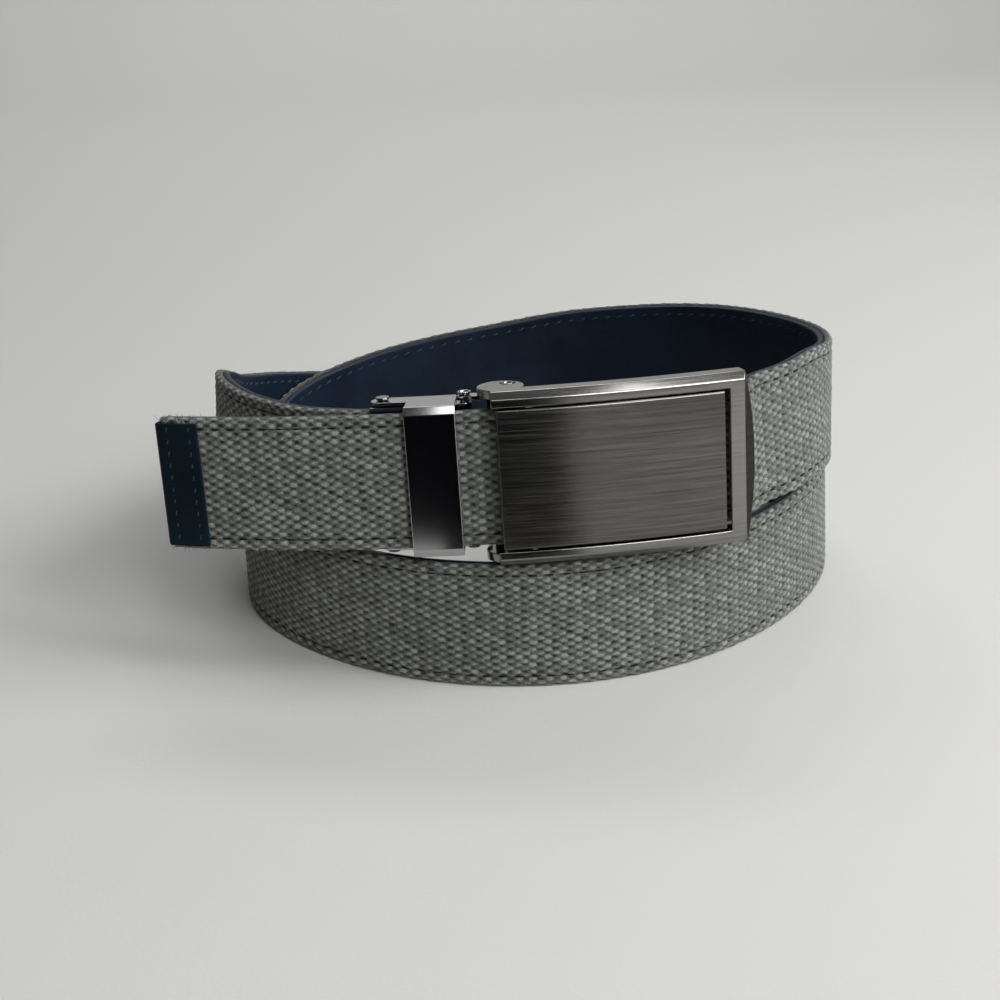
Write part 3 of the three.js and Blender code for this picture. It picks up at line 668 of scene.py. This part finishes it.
def fray():
    """Loose canvas threads that stick out at the tip cap's corners and edges."""
    draw = np.random.default_rng(7)
    points, faces = [], []
    spots = [(draw.uniform(1.0, CAP_LENGTH), way) for way in (-1, 1) for _ in range(FRAY_THREADS)]
    for start, way in spots:
        base_s = start - TAIL_LENGTH
        base_d = draw.uniform(cap_back + 0.8, cap_front - 0.5)
        base_h = STRAP_WIDTH / 2 + way * (STRAP_WIDTH / 2 - CAP_INSET + 0.2)
        length = draw.uniform(*FRAY_LENGTHS)
        lean_s, lean_d = [draw.normal(0, spread) for spread in FRAY_LEANS]
        base = len(points)
        for t in np.linspace(0, 1, FRAY_RINGS):
            s = base_s + lean_s * t * length + FRAY_CURL * math.sin(3 * t + start)
            d = base_d + lean_d * t * length
            h = base_h + way * (t * length - FRAY_ROOT)
            radius = FRAY_RADIUS * (1 - FRAY_TAPER * t)
            for i in range(FRAY_SIDES):
                a = 2 * math.pi * i / FRAY_SIDES
                points.append(front_point(s + radius * math.cos(a), d + radius * math.sin(a), h))
        for face in grid_faces(FRAY_RINGS, FRAY_SIDES, True):
            faces.append([base + i for i in face])
    new_mesh("tip_fray", np.array(points), faces, "belt", ())


fray()


# Materials
class Shader:
    """A material with a few helpers for its nodes."""

    def __init__(self, name, colour, roughness, metallic=0.0):
        self.material = bpy.data.materials.new(name)
        self.material.use_nodes = True
        self.tree = self.material.node_tree
        self.base = self.tree.nodes["Principled BSDF"]
        self.base.inputs["Base Color"].default_value = (*colour, 1)
        self.base.inputs["Roughness"].default_value = roughness
        self.base.inputs["Metallic"].default_value = metallic

    def add(self, kind, inputs=None, **settings):
        node = self.tree.nodes.new(kind)
        for key, value in settings.items():
            setattr(node, key, value)
        for key, value in (inputs or {}).items():
            self.give(node.inputs[key], value)
        return node

    def give(self, socket, value):
        if isinstance(value, bpy.types.NodeSocket):
            self.tree.links.new(value, socket)
        else:
            socket.default_value = value

    def math(self, operation, *values, clamp=False):
        node = self.add("ShaderNodeMath", operation=operation, use_clamp=clamp)
        for socket, value in zip(node.inputs, values):
            self.give(socket, value)
        return node.outputs[0]

    def noise(self, vector, scale, detail=3.0, rough=0.5, distortion=0.0):
        node = self.add("ShaderNodeTexNoise", {
            "Vector": vector, "Scale": scale, "Detail": detail, "Roughness": rough,
            "Distortion": distortion,
        })
        return node.outputs["Fac"]

    def scaled(self, vector, scale, turn=(0, 0, 0)):
        node = self.add("ShaderNodeMapping", {"Vector": vector, "Scale": scale, "Rotation": turn})
        return node.outputs[0]

    def place(self):
        return self.add("ShaderNodeTexCoord").outputs["Object"]

    def ramp(self, value, stops):
        node = self.add("ShaderNodeValToRGB", {"Fac": value})
        while len(node.color_ramp.elements) < len(stops):
            node.color_ramp.elements.new(0.5)
        for element, (place, colour) in zip(node.color_ramp.elements, stops):
            element.position = place
            element.color = (*colour, 1)
        return node.outputs[0]

    def remap(self, value, low, high, new_low, new_high):
        node = self.add("ShaderNodeMapRange", {
            "Value": value, "From Min": low, "From Max": high,
            "To Min": new_low, "To Max": new_high,
        })
        return node.outputs[0]

    def mix(self, share, first, second, blend="MIX"):
        node = self.add("ShaderNodeMix", data_type="RGBA", blend_type=blend)
        self.give(node.inputs["Factor"], share)
        self.give(node.inputs[6], first)
        self.give(node.inputs[7], second)
        return node.outputs[2]

    def tint(self, colour, tone):
        """Gives the base a colour times a grey tone."""
        grey = self.add("ShaderNodeCombineColor", {0: tone, 1: tone, 2: tone}).outputs[0]
        self.give(self.base.inputs["Base Color"], self.mix(1.0, colour, grey, "MULTIPLY"))

    def bump(self, height, distance, strength=1.0):
        node = self.add("ShaderNodeBump", {
            "Height": height, "Distance": distance, "Strength": strength,
        })
        self.tree.links.new(node.outputs[0], self.base.inputs["Normal"])

    def set(self, **values):
        for key, value in values.items():
            self.give(self.base.inputs[key.replace("_", " ")], value)


# The canvas from the bottom of its gaps to the tops of its grains: its own grey-green, with painted
# shade in the gaps and a painted highlight on the tops
CANVAS_COLOUR_AND_PAINTED_LIGHT = [
    (0.1, (0.0035, 0.004, 0.0032)),
    (0.4, (0.032, 0.035, 0.03)),
    (0.6, (0.076, 0.082, 0.071)),
    (0.86, (0.112, 0.119, 0.106)),
    (1.0, (0.27, 0.28, 0.256)),
]


def canvas_material():
    """Grains coloured by their relief, with painted shade in the gaps and painted highlights on the
    tops, a rim darkened partly for the dark leather edge and partly as painted shade, painted shade
    along the seams, and ragged strands.
    """
    m = Shader("canvas_weave", (0.2, 0.21, 0.19), 0.9)
    uv = m.add("ShaderNodeUVMap", uv_map="strap").outputs[0]
    across = m.math("MULTIPLY", m.add("ShaderNodeSeparateXYZ", {0: uv}).outputs[1], 1 / UV_SCALE)
    grain = m.add("ShaderNodeAttribute", attribute_name="grain").outputs["Color"]
    relief, own = m.add("ShaderNodeSeparateColor", {0: grain}).outputs[:2]
    strands = m.noise(m.scaled(uv, (130, 520, 1), (0, 0, 0.35)), 1.0, 4.0, 0.65)
    fuzz = m.noise(m.place(), 2600.0, 3.0, 0.6)
    blotch = m.noise(m.place(), 60.0, 4.0, 0.6)
    ragged = m.math("MULTIPLY", m.math("SUBTRACT", m.math("ADD", strands, fuzz), 1.0), 0.75)
    relief_for_painted_light = m.math("ADD", relief, ragged)
    # The ramp turns relief and strands into colour: painted shade in the gaps, a painted highlight on
    # the grain tops
    colour = m.ramp(relief_for_painted_light, CANVAS_COLOUR_AND_PAINTED_LIGHT)
    # Painted shade along the two rows of stitches, for the pressed seam grooves
    seam = m.math("MINIMUM", m.math("ABSOLUTE", m.math("SUBTRACT", across, STITCH_EDGE)),
                  m.math("ABSOLUTE", m.math("SUBTRACT", across, STRAP_WIDTH - STITCH_EDGE)))
    seam_shade = m.remap(seam, 0.12, 0.42, 0.55, 1.0)
    # The turned-over rim is darkened, partly for the dark leather edge and partly as painted shade
    from_middle = m.math("ABSOLUTE", m.math("SUBTRACT", across, STRAP_WIDTH / 2))
    rim_shade = m.remap(from_middle, STRAP_WIDTH / 2, STRAP_WIDTH / 2 + RIM_DARK, 1.0, 0.16)
    # Random grain tone and blotches, then times the painted shade of seams and rim
    shade = m.remap(m.math("ADD", own, m.math("MULTIPLY", blotch, 1.6)), 0.4, 2.2, 0.86, 1.18)
    shade = m.math("MULTIPLY", m.math("MULTIPLY", shade, seam_shade), rim_shade)
    m.tint(colour, shade)
    m.bump(m.math("ADD", strands, m.math("MULTIPLY", fuzz, 0.5)), 0.00045, 1.0)
    m.set(Sheen_Weight=0.2, Sheen_Roughness=0.4, Specular_IOR_Level=0.5)
    m.set(Roughness=m.remap(strands, 0.3, 0.7, 0.8, 0.5))
    return m.material


def leather_material(name, colour, gloss, shine):
    m = Shader(name, colour, gloss)
    where = m.place()
    grain = m.add("ShaderNodeTexVoronoi", {"Vector": where, "Scale": 1500.0}, feature="F1").outputs[0]
    fine = m.noise(where, 900.0, 4.0, 0.6)
    wide = m.noise(where, 45.0, 3.0, 0.5)
    tone = m.remap(wide, 0.3, 0.7, 0.75, 1.3)
    m.tint((*colour, 1), tone)
    m.set(Roughness=m.remap(m.math("ADD", fine, wide), 0.7, 1.3, gloss - 0.07, gloss + 0.1))
    m.set(Specular_IOR_Level=shine)
    m.bump(m.math("ADD", grain, m.math("MULTIPLY", fine, 0.6)), 0.00012, 0.5)
    return m.material


def thread_material(name, colour):
    m = Shader(name, colour, 0.6)
    m.set(Specular_IOR_Level=0.2)
    where = m.place()
    twist = m.add("ShaderNodeTexWave", {"Vector": where, "Scale": 900.0, "Distortion": 2.0},
                  bands_direction="DIAGONAL").outputs["Fac"]
    tone = m.remap(twist, 0.0, 1.0, 0.6, 1.5)
    m.tint((*colour, 1), tone)
    m.bump(twist, 0.0001, 0.6)
    return m.material


def metal_material(name, colour, roughness, streak, scratch=0.25, smear=0.0):
    """Metal brushed along the buckle, with faint smudges and scratches."""
    m = Shader(name, colour, roughness, 1.0)
    m.set(Anisotropic=smear, Anisotropic_Rotation=0.25)
    if smear:
        around = m.add("ShaderNodeTangent", direction_type="RADIAL", axis="Z").outputs[0]
        m.give(m.base.inputs["Tangent"], around)
    where = m.place()
    tilt = (0, -math.radians(BUCKLE_TILT), 0)
    streaks = m.noise(m.scaled(where, (38, 60, 2600), tilt), 1.0, 5.0, 0.7)
    long_streaks = m.noise(m.scaled(where, (12, 20, 1500), tilt), 1.0, 3.0, 0.6)
    smudge = m.noise(where, 38.0, 3.0, 0.55)
    rub = m.noise(m.scaled(where, (900, 900, 60), (0.3, 0.7, 0.2)), 1.0, 3.0, 0.6)
    scratches = m.math("GREATER_THAN", rub, 0.80)
    both = m.math("ADD", m.math("MULTIPLY", streaks, 0.85), m.math("MULTIPLY", long_streaks, 0.15))
    tone = m.remap(both, 0.36, 0.64, 1 - 0.55 * streak, 1 + 0.55 * streak)
    wear = m.remap(smudge, 0.3, 0.7, 0.94, 1.06)
    m.tint((*colour, 1), m.math("MULTIPLY", tone, wear))
    brushing = m.remap(both, 0.3, 0.7, roughness - 0.09 * streak, roughness + 0.12 * streak)
    rough = m.math("ADD", brushing, m.math("MULTIPLY", smudge, 0.06))
    m.set(Roughness=m.math("ADD", rough, m.math("MULTIPLY", scratches, scratch)))
    relief = m.math("ADD", m.math("MULTIPLY", both, streak), m.math("MULTIPLY", smudge, 0.1))
    m.bump(relief, 0.00004, 0.5)
    return m.material


canvas = canvas_material()
navy = leather_material("navy_leather", (0.0033, 0.0087, 0.0192), 0.45, 0.2)
cap_navy = leather_material("cap_leather", (0.0018, 0.0078, 0.0135), 0.5, 0.1)
black_thread = thread_material("black_thread", (0.006, 0.0065, 0.008))
blue_thread = thread_material("blue_thread", (0.014, 0.026, 0.038))
grey_thread = thread_material("loose_grey_thread", (0.22, 0.23, 0.21))
gunmetal = metal_material("gunmetal", (0.23, 0.225, 0.216), 0.14, 0.3, 0.2, 0.3)
brushed = metal_material("brushed_gunmetal", (0.12, 0.117, 0.112), 0.16, 0.62, 0.2, 0.85)
# A darker copy of the gunmetal for the frame's right side, as painted shade
shaded_side_metal = metal_material("shaded_side_gunmetal", (0.045, 0.044, 0.043), 0.25, 0.3)
black_metal = metal_material("black_metal", (0.42, 0.415, 0.42), 0.08, 0.02, 0.15)
plastic = Shader("track_plastic", (0.012, 0.012, 0.014), 0.45)
plastic.bump(plastic.noise(plastic.place(), 1800.0), 0.00005, 0.4)

looks = {
    **{piece.name: canvas for piece in weave},
    "lining_leather": navy, "tip_leather": cap_navy, "tip_fray": grey_thread,
    "frame_metal": gunmetal, "lid_metal": brushed, "keeper_metal": black_metal,
    "clamp_metal": black_metal, "lid_pin": gunmetal, "hinge_pin_metal": black_metal,
    "link_top": black_metal, "link_bottom": black_metal, "rivet_top": gunmetal,
    "rivet_bottom": gunmetal, "track_teeth": plastic.material,
    "tip_stitches_front": blue_thread, "tip_stitches_back": blue_thread,
    "lining_stitches_upper": blue_thread, "lining_stitches_lower": blue_thread,
}
for thing in bpy.context.scene.objects:
    if thing.type == "MESH" and "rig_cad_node" not in thing:
        look = looks.get(thing.name, black_thread)
        thing.data.materials.clear()
        thing.data.materials.append(look)

# The frame's right side gets a darker copy of the gunmetal: painted shade for the dark reflection
# that side shows
frame_mesh = copies["frame_metal"].data
frame_mesh.materials.append(shaded_side_metal)
far_right = max(corner.co.x for corner in frame_mesh.vertices)
for face in frame_mesh.polygons:
    if face.normal.x > SIDE_FACING and face.center.x > far_right - SIDE_DEPTH * MM:
        face.material_index = 1

# Floor and backdrop in one pale sweep
profile = [(FLOOR_FRONT, 0.0), (FLOOR_BACK - FLOOR_BEND, 0.0)]
for k in range(1, FLOOR_BEND_STEPS + 1):
    a = math.radians(90 * k / FLOOR_BEND_STEPS)
    profile.append((FLOOR_BACK - FLOOR_BEND * (1 - math.sin(a)), FLOOR_BEND * (1 - math.cos(a))))
profile.append((FLOOR_BACK, BACKDROP_HEIGHT))
sweep_points = [(x, y, z) for y, z in profile for x in (-FLOOR_SIDE, FLOOR_SIDE)]
floor_mesh = bpy.data.meshes.new("floor")
floor_mesh.from_pydata(sweep_points, [], grid_faces(len(profile), 2, False))
floor_mesh.shade_smooth()
floor = bpy.data.objects.new("floor", floor_mesh)
bpy.context.scene.collection.objects.link(floor)
floor_look = Shader("pale_floor", (0.455, 0.455, 0.44), 0.9)
floor_look.bump(floor_look.noise(floor_look.place(), 700.0, 3.0), 0.0002, 0.3)
floor.data.materials.append(floor_look.material)

# A dark card flat on the floor, out of view, that only the metal mirrors: a painted shadow in front
# of the buckle, seen dark in the lid's left and the keeper's face
card_mesh = bpy.data.meshes.new("dark_card")
card_points = [(x, y, CARD_HEIGHT) for x, y in CARD_OUTLINE]
card_mesh.from_pydata(card_points, [], [tuple(range(len(card_points)))])
card = bpy.data.objects.new("dark_card", card_mesh)
bpy.context.scene.collection.objects.link(card)
card_black = Shader("card_black", (0.002, 0.002, 0.003), 0.9)
card_black.set(Specular_IOR_Level=0.0)
card.data.materials.append(card_black.material)
card.visible_camera = False
card.visible_diffuse = False
card.visible_shadow = False

for name, place, aim, size, watts in LIGHTS:
    lamp = bpy.data.lights.new(name, "AREA")
    lamp.shape = "RECTANGLE"
    lamp.size, lamp.size_y = size
    lamp.energy = watts
    light = bpy.data.objects.new(name, lamp)
    light.location = place
    light.rotation_euler = (Vector(aim) - Vector(place)).to_track_quat("-Z", "Y").to_euler()
    bpy.context.scene.collection.objects.link(light)

# A soft sky, darker in front than behind
world = bpy.data.worlds.new("soft")
world.use_nodes = True
sky = world.node_tree
way = sky.nodes.new("ShaderNodeTexCoord")
ways = sky.nodes.new("ShaderNodeSeparateXYZ")
sky.links.new(way.outputs["Generated"], ways.inputs[0])
dim = sky.nodes.new("ShaderNodeMapRange")
for socket, value in SKY_STRENGTH.items():
    dim.inputs[socket].default_value = value
sky.links.new(ways.outputs["Y"], dim.inputs["Value"])
sky.links.new(dim.outputs[0], sky.nodes["Background"].inputs["Strength"])
sky.nodes["Background"].inputs["Color"].default_value = SKY_COLOUR
bpy.context.scene.world = world

# Camera where the photographer's was
camera_data = bpy.data.cameras.new("camera")
camera_data.sensor_width = CAMERA_SENSOR
camera_data.lens = CAMERA_LENS
camera_data.clip_start = 0.01
camera = bpy.data.objects.new("camera", camera_data)
turn = Matrix.Rotation(math.radians(90 - CAMERA_PITCH), 4, "X")
turn = turn @ Matrix.Rotation(math.radians(CAMERA_ROLL), 4, "Z")
camera.matrix_world = Matrix.Translation(Vector(in_row(np.array(CAMERA_PLACE)))) @ turn
bpy.context.scene.collection.objects.link(camera)
bpy.context.scene.camera = camera
bpy.context.scene.view_settings.view_transform = "Standard"
